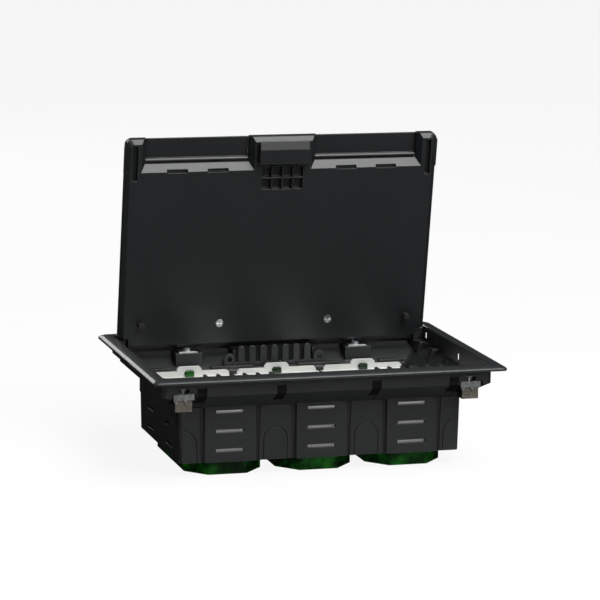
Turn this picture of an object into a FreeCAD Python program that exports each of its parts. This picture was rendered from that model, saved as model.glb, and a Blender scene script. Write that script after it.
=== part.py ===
import FreeCAD, Part

import math
import os

# Floor socket box for a raised floor, three columns of two 45 x 45 modules.
# Millimetres. The pieces are drawn with z = 0 at the floor's surface, which is
# the underside of the rim frame, and lifted on saving, so that the lowest face
# of the back boxes is z = 0 in the saved files. +X is right, +Y is the hinge side.

V = FreeCAD.Vector

# ---- Driving dimensions ----------------------------------------------------

DEPTH = 78.0              # floor surface to the bottom of the back boxes

# Widths that follow from the spacing of the columns
COLUMN_PITCH = 71.67      # spacing of the three columns
CRADLE_CLEAR = 2.07       # between neighbouring cradles
CRADLE_X = (COLUMN_PITCH - CRADLE_CLEAR) / 2    # half width of the cradle plate
TROUGH_X = COLUMN_PITCH + CRADLE_X + 4.53       # half width of the lower trough at its top

# Recess: the opening that the lid closes
RECESS_X = TROUGH_X + 16.5    # half width of the opening
RECESS_FRONT = -87.4      # front inner wall
RECESS_REAR = 88.2        # rear inner wall
RECESS_CORNER = 3.0       # inner corner radius
CORNER_SHARE = 0.6        # bevel of a trough corner, as a share of its radius
ROD_FLATS = 16            # flats of the slim rods

# Rim frame on the floor
RIM_SIDE = 10.5           # width of the rim at the sides
RIM_FRONT = 12.1          # width of the rim at the front
RIM_REAR = 11.3           # width of the rim at the rear
RIM_CORNER = 4.0          # outer corner radius
RIM_HEIGHT = 3.6          # crest of the rim above the floor
RIM_REBATE = 1.7          # width of the step that seats the housing
RIM_REBATE_HEIGHT = 1.8   # height of that step
RIM_LIP = 0.8             # bevel of the crest along the opening
CROWN = ((0.0, 0.0), (0.0, 1.6), (0.7, 2.25), (2.6, 3.05), (5.5, 3.45), (9.0, 3.6))

# Housing: a moulded trough
UPPER_WALL = 1.2          # wall of the upper band
LOWER_WALL = 1.8          # wall of the lower trough
SKIRT_TOP = -11.5         # where the sloped skirt starts
SKIRT_LOW = -25.0         # where the skirt meets the lower trough
SKIRT_LIFT = 0.9          # rise of the skirt's inner face over its outer face
TROUGH_DRAFT = 1.0        # side draft of the lower trough
TROUGH_Y = 66.8           # half length of the lower trough
TROUGH_FLOOR = -67.0      # underside of the trough's floor
FLOOR_WALL = 2.0          # thickness of the trough's floor
LEDGE_TOP = -8.6          # shelf in the two rear corners
LEDGE_WALL = 1.5          # shelf thickness
LEDGE_FROM = 62.0         # where the cut rear corners start along the side
LEDGE_TO = 118.3          # where the cut rear corners end along the rear

NOTCH_PLACES = (37.2, 98.5)   # upright notches in the upper band, from the middle
NOTCH_WIDTH = 7.5
NOTCH_TOP = -4.0
NOTCH_DEPTH = 0.7
GROOVE_TOP_WIDTH = 4.2    # tapered grooves beside the front and rear panels
GROOVE_LOW_WIDTH = 1.8
GROOVE_DEPTH = 0.9
PAD_PROUD = 2.0           # pads on the sides of the lower trough, under the skirt
PAD_LOW = -36.0
PAD_HALF = 58.0

# Fins in the cable outlets' ways, on the front wall
FIN_COUNT = 6
FIN_FIRST = 41.6          # first fin from the middle
FIN_PITCH = 10.2
FIN_THICK = 2.0
FIN_GAP = 0.6             # from the fins' tops to the closed flaps

# Openings and ribs of the trough's sides, and the arches that can be pressed out
SIDE_SLOT_PLACE = 31.0    # of the side slots, from the middle
SIDE_SLOT_LEVELS = (-44.0, -59.0)
SIDE_SLOT_WIDTH = 22.0
SIDE_SLOT_HEIGHT = 2.5
SIDE_WINDOWS = ((-10.2, -5.6), (72.0, -3.7))    # place along the side, and height
SIDE_WINDOW_WIDTH = 5.5
SIDE_WINDOW_HEIGHT = 5.2
GUSSETS = ((70.0, 9.0, -8.0), (37.0, 9.0, -8.0), (10.0, 7.0, -12.0))    # place, reach, top
GUSSET_THICK = 8.0
BEADS = ((18.5, 53.0), (86.5, 108.0))    # from and to, along the front and rear
BEAD_HEIGHT = 4.2
ARCH_WIDTH = 19.5
END_ARCH_WIDTH = 24.0
ARCH_TOP = -41.5
ARCH_SCORE_WIDTH = 0.8
ARCH_SCORE_DEPTH = 0.7

# Columns of sockets
PANEL_WIDTH = 39.5        # raised guide panels on the front and rear walls
PANEL_PROUD = 1.5         # how far a panel stands out
CHANNEL_WIDTH = 36.0      # guide channel behind a panel
SLOT_WIDTH = 22.0         # locking slots for the cradle tabs
SLOT_HEIGHT = 2.6
SLOT_FIRST = -28.3        # height of the top slots
SLOT_PITCH = 14.85        # spacing of the three slot levels

# Cradles
CRADLE_Y = 64.4           # half length of the cradle plate
CRADLE_TOP = -27.0
CRADLE_THICK = 2.4
APERTURE_X = 22.7         # half width of the module opening
APERTURE_Y = 45.3         # half length of the module opening
LEG_DROP = 32.0           # length of the toothed legs in the channels
LEG_THICK = 1.4
TOOTH_PITCH = 2.9         # teeth of those legs
CHANNEL_GAP = 0.25        # running gap between leg and channel
UPSTAND_X = 10.0          # half width of the upstand at each end
UPSTAND_THICK = 1.9
UPSTAND_TOP = -19.0
UPSTAND_EASE = 2.0        # bevel of an upstand's and a lip's upper corners
LIP_X = CRADLE_X - 2.2    # half width of the lip at each end of a cradle
LIP_TOP = -22.8
WINDOW_X = 4.0            # window of an upstand: half its width, half its height, bevel
WINDOW_R = 2.2
WINDOW_EASE = 1.5
WINDOW_Z = -24.5
HOOK_X = 3.2              # half width of a back box's hook in that window
HOOK_GAP = 0.2

# Back boxes
BOX_X = 30.0              # half width
BOX_Y = 61.0              # half length
BOX_CORNER_X = 15.0       # corner chamfer across
BOX_CORNER_Y = 17.0       # corner chamfer along
BOX_WALL = 1.6
BOX_GAP = 1.0             # gap between a back box and the floor opening

# Lid, measured from its rear edge (s) and from its underside (t)
LID_SIDE_GAP = 1.3        # gap between the closed lid and the recess, sides
LID_FRONT_GAP = 1.2       # the same at the free end
LID_REAR_GAP = 1.0        # the same at the hinge
LID_THICK = 9.0
LID_SPLIT = 5.0           # height of the joint between the two lid mouldings
LID_CORNER = 5.0
LID_CHAMFER = 3.5         # underside edge bevel, across
LID_CHAMFER_HEIGHT = 2.5  # underside edge bevel, up
NOTCH_S = 9.6             # length of the rear corner notches for the hinge lugs
HINGE_S = 6.6             # hinge axis from the lid's rear edge
HINGE_T = 6.3             # hinge axis above the lid's underside
REST_ANGLE = 80.0         # how far the lid stands open
PIN_RADIUS = 1.5
PIN_GAP = 0.05            # radial running clearance of the hinge pins
LUG_RADIUS = 2.6
LUG_WIDTH = 7.5
LUG_GAP = 0.7             # side gaps of a lug, to the lid and to the rim
PIN_GRIP = 8.6            # length of a pin held in the lid
PLATE_THICK = 1.5         # steel stiffener between the lid mouldings
PLATE_SIDE = 20.2         # from the plate to the lid's side
PLATE_FROM = 14.0         # from the plate to the lid's rear edge
PLATE_END = 45.4          # from the plate to the lid's free end
LID_SCREW_X = 44.7        # the two screws that join the mouldings
LID_SCREW_S = 20.0
BUMPER_SIDE = 16.7        # from a bumper to the lid's side
BUMPER_S = 21.0
BUMPER_RADIUS = 2.5
BUMPER_HEIGHT = 6.0

# Cable outlets at the lid's free end
OUTLET_FROM = 27.0
OUTLET_TO = 110.0
OUTLET_LONG = 20.4        # from the lid's free end to the outlet's inner end
OUTLET_SPLAY = 4.0        # how much the outlet's side walls lean
OUTLET_RAMP = 6.0         # how much its inner wall leans
FLAP_GAP = 0.4
FLAP_THICK = 1.4
FLAP_END_GAP = 0.9        # from a flap's edge to the lid's free end
FLAP_PIVOT_LONG = 18.4    # from a flap's pivot to the lid's free end
FLAP_PIVOT_T = 7.0
FLAP_KNUCKLE = 1.9
FLAP_ROOM = 0.5           # from the knuckle to the lid's cover
FLAP_GROOVES = 5          # finger grooves on a flap's upper face
TRUNNION_RADIUS = 1.0
TRUNNION_LENGTH = 3.0

LIP_SLOT_WIDTH = 16.6     # two slots in each outlet's inner edge
LIP_SLOT_APART = 32.7
TONGUE_LONG = 27.4        # sprung tongues at the sides of the free end
TONGUE_GAP = 5.4
TONGUE_WIDE = 7.15        # from the groove behind a tongue to the lid's side
TONGUE_PROUD = 0.9

# Latch slide
LATCH_X = 20.0            # half width of the slide's grip
LATCH_LONG = 19.0
LATCH_END_GAP = 2.4       # from the slide to the lid's free end
LATCH_HEIGHT = 5.0
LATCH_BEVEL = 6.5
LATCH_NOSE = 2.4          # length of the nose that hooks under the catch
LATCH_NOSE_GAP = 2.2      # clear height above the nose
LATCH_TRAVEL = 4.0
LATCH_NECK = 12.0         # half width of the slide's neck
LATCH_FOOT = 15.0         # half width of its foot inside the lid
LATCH_RUN = 0.3           # running gap in the lid's slot
CATCH_X = 16.0
GRID_PITCH = 8.6          # ribbed field behind the latch
GRID_WALL = 1.0
GRID_LONG = 8.8
GRID_DEEP = 4.0
GRID_GAP = 2.6            # from the field to the slide

# Claws that clamp the box to the floor panel
CLAW_FRONT_X = 112.3
CLAW_FRONT_Y = -82.0
CLAW_REAR_X = 70.0
CLAW_REAR_Y = 79.5
CLAW_WIDTH = 16.0
CLAW_DEPTH = 11.0
CLAW_TOP = -9.5
CLAW_FLANGE = 4.5
CLAW_SHEET = 1.2
CLAW_SPIKE = 3.2
CLAW_SPIKES = (-6.2, 1.3)
CLAW_BLOCK_LOW = -23.0
CLAW_GAP = 1.2            # clearance between a claw and its pocket
CLAW_ROOF_GAP = 0.5       # gap between a raised claw and the roof over it
SCREW_RADIUS = 2.0
SCREW_GAP = 0.25
SCREW_HEAD = 3.6
SCREW_HEAD_HEIGHT = 2.0
SCREW_LOW = -22.5
POCKET_WALL = 1.5
POCKET_ROOF = -6.2
TOWER_TOP = -10.0
TOWER_PLATE = 0.8

# Rear cable comb
COMB_TEETH = 7
COMB_PITCH = 9.1
COMB_TOOTH = 5.2
COMB_EASE = 1.2           # bevels at the teeth's tips and roots
COMB_TOP = -5.8
COMB_NOTCH = -19.0
COMB_LOW = -24.0
COMB_FRONT = 69.2
COMB_THICK = 2.4
COMB_EXIT_X = 32.0
HOOD_WALL = 1.6           # walls round the cable exit behind the comb
HOOD_LOW = -28.0
EAR_X = 37.0
EAR_HALF = 4.5
EAR_TOP = -11.5
EAR_HOLE_Z = -16.5
EAR_HOLE = 2.0

# Places that follow from the sizes above
LID_X = RECESS_X - LID_SIDE_GAP
LID_LENGTH = RECESS_REAR - RECESS_FRONT - LID_REAR_GAP - LID_FRONT_GAP
LID_REAR = RECESS_REAR - LID_REAR_GAP
LID_UNDER = RIM_HEIGHT - LID_THICK
HINGE_Y = LID_REAR - HINGE_S
HINGE_Z = LID_UNDER + HINGE_T
LUG_TO = RECESS_X - LUG_GAP
LUG_FROM = LUG_TO - LUG_WIDTH
NOTCH_X = LUG_FROM - LUG_GAP
PIN_FROM = NOTCH_X - PIN_GRIP
PIN_TO = LUG_TO - 0.8
PLATE_TO = LID_LENGTH - PLATE_END
OUTLET_S = LID_LENGTH - OUTLET_LONG
FLAP_END = LID_LENGTH - FLAP_END_GAP
FLAP_PIVOT_S = LID_LENGTH - FLAP_PIVOT_LONG
LATCH_TO = LID_LENGTH - LATCH_END_GAP
LATCH_FROM = LATCH_TO - LATCH_LONG
COLUMNS = (("left", -COLUMN_PITCH), ("middle", 0.0), ("right", COLUMN_PITCH))
SIDES = (("left", -1), ("right", 1))
CRADLE_UNDER = CRADLE_TOP - CRADLE_THICK


# ---- Building helpers ------------------------------------------------------

def block(x, y, z):
    """A box between two values along each axis, given in either order."""
    low = V(min(x), min(y), min(z))
    size = V(max(x), max(y), max(z)) - low
    return Part.makeBox(size.x, size.y, size.z, low)


def span(centre, half):
    return (centre - half, centre + half)


def rod(radius, start, end):
    """A round bar between two points."""
    return Part.makeCylinder(radius, end.distanceToPoint(start), start, end - start)


def slim_rod(radius, start, end):
    """A round bar drawn with flats, for the many small fasteners and their holes."""
    turn = FreeCAD.Rotation(V(0, 0, 1), end - start)
    corners = []
    for number in range(ROD_FLATS):
        angle = 2 * math.pi * number / ROD_FLATS
        corners.append(start + turn.multVec(V(radius * math.cos(angle), radius * math.sin(angle), 0)))
    face = Part.Face(Part.makePolygon(corners + corners[:1]))
    return face.extrude(end - start)


def bar(along, points, reach):
    """An outline, pushed along one axis. Its points are the other two axes, in order."""
    place = {
        "x": lambda a, b: V(reach[0], a, b),
        "y": lambda a, b: V(a, reach[0], b),
        "z": lambda a, b: V(a, b, reach[0]),
    }[along]
    way = {"x": V(1, 0, 0), "y": V(0, 1, 0), "z": V(0, 0, 1)}[along]
    corners = [place(a, b) for a, b in points]
    face = Part.Face(Part.makePolygon(corners + corners[:1]))
    return face.extrude(way * (reach[1] - reach[0]))


def ring(x, y, radius, z):
    """A rectangle with rounded corners at one height, as a closed wire."""
    turns = ((x[1], y[1], -1, -1), (x[0], y[1], 1, -1), (x[0], y[0], 1, 1), (x[1], y[0], -1, 1))
    arcs = []
    for number, (cx, cy, way_x, way_y) in enumerate(turns):
        centre = V(cx + way_x * radius, cy + way_y * radius, z)
        arcs.append(Part.makeCircle(radius, centre, V(0, 0, 1), 90 * number, 90 * number + 90))
    edges = []
    for arc, following in zip(arcs, arcs[1:] + arcs[:1]):
        edges.append(arc)
        edges.append(Part.makeLine(arc.lastVertex().Point, following.firstVertex().Point))
    return Part.Wire(edges)


def bevelled_ring(x, y, ease, z):
    """A rectangle with its corners cut off at one height, as a closed wire."""
    points = [
        V(x[1] - ease, y[1], z), V(x[0] + ease, y[1], z), V(x[0], y[1] - ease, z), V(x[0], y[0] + ease, z),
        V(x[0] + ease, y[0], z), V(x[1] - ease, y[0], z), V(x[1], y[0] + ease, z), V(x[1], y[1] - ease, z),
    ]
    return Part.makePolygon(points + points[:1])


def stack(*rings):
    """A solid whose flat-sided walls run from each ring to the next."""
    return Part.makeLoft(list(rings), True, True)


def join(first, *others):
    """One solid from several that touch or overlap."""
    return first.multiFuse(list(others)).removeSplitter()


def both_sides(shape):
    """A shape and its mirror image in the middle plane."""
    return [shape, shape.mirror(V(0, 0, 0), V(1, 0, 0))]


def both_ends(shape):
    """A shape and its mirror image front to rear."""
    return [shape, shape.mirror(V(0, 0, 0), V(0, 1, 0))]


def on_lid(x, s, t):
    """A box on the closed lid: s from its rear edge, t up from its underside."""
    return block(x, (LID_REAR - s[1], LID_REAR - s[0]), (LID_UNDER + t[0], LID_UNDER + t[1]))


def lid_point(x, s, t):
    return V(x, LID_REAR - s, LID_UNDER + t)


def lid_bar(points, x):
    """An outline in s and t on the closed lid, pushed along X."""
    return bar("x", [(LID_REAR - s, LID_UNDER + t) for s, t in points], x)


# ---- Rim frame -------------------------------------------------------------

def rim_frame():
    """A crowned frame that lies on the floor round the recess."""
    sections = []
    for inset, height in CROWN:
        radius = RIM_CORNER * (1.0 + inset / CROWN[-1][0])
        x = span(0, RECESS_X + RIM_SIDE - inset)
        y = (RECESS_FRONT - RIM_FRONT + inset, RECESS_REAR + RIM_REAR - inset)
        sections.append(ring(x, y, radius, height))
    frame = stack(*sections)
    inside = (span(0, RECESS_X), (RECESS_FRONT, RECESS_REAR), RECESS_CORNER)
    opening = stack(ring(*inside, -1.0), ring(*inside, RIM_HEIGHT + 1.0))
    step = RIM_REBATE
    seat_x = span(0, RECESS_X + step)
    seat_y = (RECESS_FRONT - step, RECESS_REAR + step)
    seat = stack(
        ring(seat_x, seat_y, RECESS_CORNER + step, -1.0),
        ring(seat_x, seat_y, RECESS_CORNER + step, RIM_REBATE_HEIGHT),
    )
    frame = frame.cut(opening)
    lip = [edge for edge in frame.Edges if on_inner_lip(edge)]
    frame = frame.makeChamfer(RIM_LIP, lip)
    return frame.cut(seat)


def on_inner_lip(edge):
    """Whether an edge lies on the crest, along the opening."""
    box = edge.BoundBox
    level = abs(box.ZMin - RIM_HEIGHT) < 0.01 and abs(box.ZMax - RIM_HEIGHT) < 0.01
    inside_x = max(abs(box.XMin), abs(box.XMax)) < RECESS_X + 0.1
    inside_y = box.YMin > RECESS_FRONT - 0.1 and box.YMax < RECESS_REAR + 0.1
    return level and inside_x and inside_y


# ---- Housing ---------------------------------------------------------------

def trough(grow_x, grow_y, top, lift, floor):
    """The trough's solid form: upper band, sloped skirt and lower trough."""
    wide = (span(0, RECESS_X + grow_x), (RECESS_FRONT - grow_x, RECESS_REAR + grow_x))
    upper = CORNER_SHARE * (RECESS_CORNER + grow_x)
    narrow = span(0, TROUGH_X - LOWER_WALL + grow_y)
    foot = span(0, TROUGH_X - TROUGH_DRAFT - LOWER_WALL + grow_y)
    long = span(0, TROUGH_Y - LOWER_WALL + grow_y)
    corner = CORNER_SHARE * RECESS_CORNER
    return stack(
        bevelled_ring(*wide, upper, top),
        bevelled_ring(*wide, upper, SKIRT_TOP + lift),
        bevelled_ring(narrow, long, corner, SKIRT_LOW + lift),
        bevelled_ring(foot, long, corner, floor),
    )


def rear_corner(inset, z):
    """The wedge outside the diagonal that cuts a rear corner of the trough."""
    beyond = 20.0
    along = V(LEDGE_TO - RECESS_X, RECESS_REAR - LEDGE_FROM, 0).normalize()
    across = V(-along.y, along.x, 0) * inset
    start = V(RECESS_X, LEDGE_FROM, 0) - along * beyond + across
    end = V(LEDGE_TO, RECESS_REAR, 0) + along * beyond + across
    far_x = RECESS_X + beyond * 2
    points = [(start.x, start.y), (far_x, start.y), (far_x, end.y), (end.x, end.y)]
    return bar("z", points, z)


def claw_pockets(grow, roof):
    """The front pockets of the claws: solid blocks, or their hollows."""
    x = span(CLAW_FRONT_X, CLAW_WIDTH / 2 + CLAW_GAP + grow)
    y = (RECESS_FRONT - 10.0, CLAW_FRONT_Y + CLAW_DEPTH / 2 + 1.9 + grow)
    return both_sides(block(x, y, (SKIRT_LOW - 10.0, roof)))


def claw_towers(grow, roof):
    """The rear towers over the claws: solid blocks, or their hollows."""
    x = span(CLAW_REAR_X, CLAW_WIDTH / 2 + CLAW_GAP + grow)
    y = (CLAW_REAR_Y - CLAW_DEPTH / 2 - 2.4 - grow, RECESS_REAR)
    return both_sides(block(x, y, (SKIRT_LOW - 10.0, roof)))


def hinge_lug():
    """A bored lug at a rear corner, carried by a foot on the side wall."""
    eye = rod(LUG_RADIUS, V(LUG_FROM, HINGE_Y, HINGE_Z), V(LUG_TO, HINGE_Y, HINGE_Z))
    foot = block((LUG_FROM, LUG_TO), span(HINGE_Y, LUG_RADIUS), (LEDGE_TOP - 0.5, HINGE_Z))
    web = block((LUG_TO - 0.5, RECESS_X + 0.4), span(HINGE_Y, LUG_RADIUS), (LEDGE_TOP - 0.5, 0.0))
    return join(eye, foot, web)


def floor_opening(column):
    """The hole in the trough's floor that a back box and its cradle legs pass through."""
    low = (TROUGH_FLOOR - 1.0, SKIRT_LOW - 6.0)
    hole = back_box_solid(BOX_X + BOX_GAP, BOX_Y + BOX_GAP, low)
    reach = TROUGH_Y + PANEL_PROUD - LOWER_WALL
    legs = block(span(0, CHANNEL_WIDTH / 2), span(0, reach), (TROUGH_FLOOR - 1.0, SKIRT_LOW - 6.0))
    return join(hole, legs).translated(V(column, 0, 0))


def guide_panel(column):
    """A raised panel outside the wall, with its channel and its three slots."""
    outer = TROUGH_Y + PANEL_PROUD
    inner = outer - LOWER_WALL
    panel = block(span(column, PANEL_WIDTH / 2), (TROUGH_Y - 1.0, outer), (TROUGH_FLOOR, SKIRT_LOW + 1.0))
    channel = block(span(column, CHANNEL_WIDTH / 2), (0, inner), (TROUGH_FLOOR - 1.0, SKIRT_LOW + 0.5))
    cuts = [channel]
    for level in range(3):
        height = SLOT_FIRST - level * SLOT_PITCH
        slot = block(span(column, SLOT_WIDTH / 2), (inner - 2.0, outer + 1.0), span(height, SLOT_HEIGHT / 2))
        cuts.append(slot)
    return panel, cuts


def knock_out(centre, half, top):
    """A scored arch in a wall, that can be pressed out for a conduit."""
    score_y = (-TROUGH_Y - 1.0, -TROUGH_Y + ARCH_SCORE_DEPTH)
    inner = half - ARCH_SCORE_WIDTH
    start = V(centre, score_y[0], top - half)
    end = V(centre, score_y[1], top - half)
    arch = rod(half, start, end)
    hollow = rod(inner, start, end)
    legs = block(span(centre, half), score_y, (TROUGH_FLOOR - 1.0, top - half))
    gap = block(span(centre, inner), score_y, (TROUGH_FLOOR - 1.0, top - half))
    flat = TROUGH_X - TROUGH_DRAFT - RECESS_CORNER - 0.2
    wall = block(span(0, flat), (-TROUGH_Y - 2.0, -TROUGH_Y + 2.0), (TROUGH_FLOOR - 2.0, SKIRT_LOW))
    return join(arch, legs).cut(join(hollow, gap)).common(wall)


def front_fins():
    """Upright fins on the front wall that part the cables on their way to the outlets."""
    top = LID_UNDER + LID_THICK - FLAP_THICK - FIN_GAP
    inner = LID_REAR - FLAP_PIVOT_S - FLAP_KNUCKLE - FIN_GAP
    fins = []
    for number in range(FIN_COUNT):
        x = span(FIN_FIRST + number * FIN_PITCH, FIN_THICK / 2)
        fins.extend(both_sides(block(x, (RECESS_FRONT - 0.5, inner), (SKIRT_LOW, top))))
    return fins


def band_notch(centre):
    """A shallow upright notch that runs from the upper band into the skirt."""
    face = RECESS_FRONT - UPPER_WALL
    points = [
        (face - 1.0, NOTCH_TOP),
        (face + NOTCH_DEPTH, NOTCH_TOP),
        (face + NOTCH_DEPTH, SKIRT_TOP),
        (-TROUGH_Y + NOTCH_DEPTH, SKIRT_LOW),
        (-TROUGH_Y - 1.0, SKIRT_LOW),
        (face - 1.0, SKIRT_TOP),
    ]
    return bar("x", points, span(centre, NOTCH_WIDTH / 2))


def tapered_groove(centre):
    """A groove beside a guide panel, narrower towards the floor of the trough."""
    points = [
        (centre - GROOVE_TOP_WIDTH / 2, SKIRT_LOW + 0.5),
        (centre + GROOVE_TOP_WIDTH / 2, SKIRT_LOW + 0.5),
        (centre + GROOVE_LOW_WIDTH / 2, TROUGH_FLOOR - 1.0),
        (centre - GROOVE_LOW_WIDTH / 2, TROUGH_FLOOR - 1.0),
    ]
    return bar("y", points, (-TROUGH_Y - 2.0, -TROUGH_Y + GROOVE_DEPTH))


def side_openings():
    """Slots in the trough's sides and small windows in the upper side walls."""
    cuts = []
    for centre in (-SIDE_SLOT_PLACE, SIDE_SLOT_PLACE):
        for height in SIDE_SLOT_LEVELS:
            wall = (TROUGH_X - 6.0, TROUGH_X + 2.0)
            slot = block(wall, span(centre, SIDE_SLOT_WIDTH / 2), span(height, SIDE_SLOT_HEIGHT / 2))
            cuts.extend(both_sides(slot))
    for window_y, window_z in SIDE_WINDOWS:
        wall = (RECESS_X - 1.0, RECESS_X + 3.0)
        window = block(wall, span(window_y, SIDE_WINDOW_WIDTH / 2), span(window_z, SIDE_WINDOW_HEIGHT / 2))
        cuts.extend(both_sides(window))
    return cuts


def gusset(y, thick, reach, top, low):
    """A fin on the side wall, with a slanted inner edge."""
    inner = RECESS_X - reach
    root = RECESS_X + 0.5
    points = [(root, top), (inner + 2.8, top), (inner, top - 7.0), (inner, low), (root, low)]
    return bar("y", points, span(y, thick / 2))


def housing():
    """The moulded trough that hangs in the floor under the rim."""
    outer = trough(UPPER_WALL, LOWER_WALL, RIM_REBATE_HEIGHT, 0.0, TROUGH_FLOOR)
    cavity = trough(0.0, 0.0, RIM_REBATE_HEIGHT + 1.0, SKIRT_LIFT, TROUGH_FLOOR + FLOOR_WALL)
    outer_corner = rear_corner(0.0, (SKIRT_LOW - 10.0, LEDGE_TOP - LEDGE_WALL))
    inner_corner = rear_corner(LEDGE_WALL, (SKIRT_LOW - 10.0, LEDGE_TOP))
    outer = outer.cut(join(*both_sides(outer_corner)))
    cavity = cavity.cut(join(*both_sides(inner_corner)))
    body = outer.cut(cavity)

    ribs = claw_pockets(POCKET_WALL, POCKET_ROOF) + claw_towers(POCKET_WALL, TOWER_TOP)
    for stretch in BEADS:
        bead = block(stretch, (TROUGH_Y - 1.0, TROUGH_Y + 4.0), (SKIRT_LOW, SKIRT_LOW + BEAD_HEIGHT))
        ribs.extend(both_sides(bead))
    for y, reach, top in GUSSETS:
        ribs.extend(both_sides(gusset(y, GUSSET_THICK, reach, top, SKIRT_LOW)))
    catch_low = LID_UNDER - 1.8
    catch_reach = LID_REAR - LATCH_TO + LATCH_NOSE - 0.8
    ribs.append(block(span(0, CATCH_X), (RECESS_FRONT - 0.5, catch_reach), (catch_low, LID_UNDER - 0.2)))
    ribs.extend(front_fins())
    ribs = [rib.common(outer) for rib in ribs]

    additions = list(ribs)
    cuts = []
    for _, column in COLUMNS:
        panel, openings = guide_panel(column)
        additions.extend(both_ends(panel))
        for opening in openings:
            cuts.extend(both_ends(opening))
        cuts.append(floor_opening(column))
    additions.extend(both_sides(hinge_lug()))
    pad = block((TROUGH_X - 1.2, TROUGH_X + PAD_PROUD), span(0, PAD_HALF), (PAD_LOW, SKIRT_LOW + 1.0))
    additions.extend(both_sides(pad))
    hood_y = (COMB_FRONT + COMB_THICK + 0.1, RECESS_REAR)
    hood = block(span(0, COMB_EXIT_X + HOOD_WALL), hood_y, (HOOD_LOW, LEDGE_TOP - 1.0))
    additions.append(hood)
    body = body.multiFuse(additions)

    cuts.extend(claw_pockets(0.0, CLAW_TOP + CLAW_ROOF_GAP))
    cuts.extend(claw_towers(0.0, TOWER_TOP - POCKET_WALL))
    for x, y, roof in ((CLAW_FRONT_X, CLAW_FRONT_Y, POCKET_ROOF), (CLAW_REAR_X, CLAW_REAR_Y, TOWER_TOP)):
        shaft = slim_rod(SCREW_RADIUS + SCREW_GAP, V(x, y, roof - 6.0), V(x, y, roof + 1.0))
        cuts.extend(both_sides(shaft))
    head_seat = slim_rod(
        SCREW_HEAD + SCREW_GAP,
        V(CLAW_FRONT_X, CLAW_FRONT_Y, POCKET_ROOF - SCREW_HEAD_HEIGHT),
        V(CLAW_FRONT_X, CLAW_FRONT_Y, POCKET_ROOF + 1.0),
    )
    cuts.extend(both_sides(head_seat))
    bore_start = V(LUG_FROM - 1.0, HINGE_Y, HINGE_Z)
    bore_end = V(PIN_TO + 0.5, HINGE_Y, HINGE_Z)
    cuts.extend(both_sides(rod(PIN_RADIUS + PIN_GAP, bore_start, bore_end)))
    exit_y = (COMB_FRONT - 1.0, RECESS_REAR - HOOD_WALL)
    cuts.append(block(span(0, COMB_EXIT_X), exit_y, (HOOD_LOW - 5.0, RIM_HEIGHT)))
    for centre in NOTCH_PLACES:
        cuts.extend(both_sides(band_notch(centre)))
    for column in (0.0, COLUMN_PITCH):
        for side in (-1, 1):
            groove = tapered_groove(column + side * (PANEL_WIDTH + GROOVE_TOP_WIDTH) / 2)
            cuts.extend(both_sides(groove))
            cuts.extend(both_sides(groove.mirror(V(0, 0, 0), V(0, 1, 0))))
    keyhole = block(
        span(CLAW_FRONT_X, SCREW_RADIUS + SCREW_GAP),
        (RECESS_FRONT - 5.0, CLAW_FRONT_Y),
        (CLAW_TOP, POCKET_ROOF + 1.0),
    )
    head_way = block(
        span(CLAW_FRONT_X, SCREW_HEAD + SCREW_GAP),
        (RECESS_FRONT - 5.0, CLAW_FRONT_Y),
        (POCKET_ROOF - SCREW_HEAD_HEIGHT, POCKET_ROOF + 1.0),
    )
    cuts.extend(both_sides(keyhole) + both_sides(head_way))
    for centre in (-COLUMN_PITCH / 2, COLUMN_PITCH / 2):
        cuts.extend(both_ends(knock_out(centre, ARCH_WIDTH / 2, ARCH_TOP)))
    for centre in (-(TROUGH_X - 2.0), TROUGH_X - 2.0):
        cuts.extend(both_ends(knock_out(centre, END_ARCH_WIDTH / 2, ARCH_TOP)))
    cuts.extend(side_openings())
    return body.cut(join(*cuts)).removeSplitter()


# ---- Rear cable comb -------------------------------------------------------

def rear_comb(trough_body):
    """A comb across the rear cable exit, held by an eared plate at each end."""
    y = (COMB_FRONT, COMB_FRONT + COMB_THICK)
    half = COMB_TOOTH / 2
    ease = COMB_EASE
    first = -COMB_PITCH * (COMB_TEETH - 1) / 2
    end = COMB_EXIT_X - 0.5
    outline = [(end, COMB_LOW), (-end, COMB_LOW), (-end, COMB_NOTCH)]
    for number in range(COMB_TEETH):
        x = first + number * COMB_PITCH
        outline.append((x - half - ease, COMB_NOTCH))
        outline.append((x - half, COMB_NOTCH + ease))
        outline.append((x - half, COMB_TOP - ease))
        outline.append((x - half + ease, COMB_TOP))
        outline.append((x + half - ease, COMB_TOP))
        outline.append((x + half, COMB_TOP - ease))
        outline.append((x + half, COMB_NOTCH + ease))
        outline.append((x + half + ease, COMB_NOTCH))
    outline.append((end, COMB_NOTCH))
    base = bar("y", outline, y)
    pieces = []
    for side in (-1, 1):
        centre = side * EAR_X
        pieces.append(block(span(centre, EAR_HALF), y, (SKIRT_LOW, EAR_TOP - EAR_HALF)))
        pieces.append(rod(EAR_HALF, V(centre, y[0], EAR_TOP - EAR_HALF), V(centre, y[1], EAR_TOP - EAR_HALF)))
        inner = side * (COMB_EXIT_X - 1.0)
        pieces.append(block((inner, centre), y, (COMB_LOW + 2.0, COMB_NOTCH)))
    comb = join(base, *pieces)
    for side in (-1, 1):
        centre = side * EAR_X
        comb = comb.cut(rod(EAR_HOLE, V(centre, y[0] - 1, EAR_HOLE_Z), V(centre, y[1] + 1, EAR_HOLE_Z)))
    below = block(span(0, EAR_X + EAR_HALF + 1.0), (y[0] - 1, y[1] + 1), (SKIRT_LOW - 8, SKIRT_LOW))
    comb = comb.cut(trough_body).cut(below)
    return max(comb.Solids, key=lambda solid: solid.Volume)


# ---- Lid -------------------------------------------------------------------

def lid_outline(inset, t):
    x = span(0, LID_X - inset)
    y = (LID_REAR - LID_LENGTH + inset, LID_REAR - inset)
    return ring(x, y, LID_CORNER - inset * 0.5, LID_UNDER + t)


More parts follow.
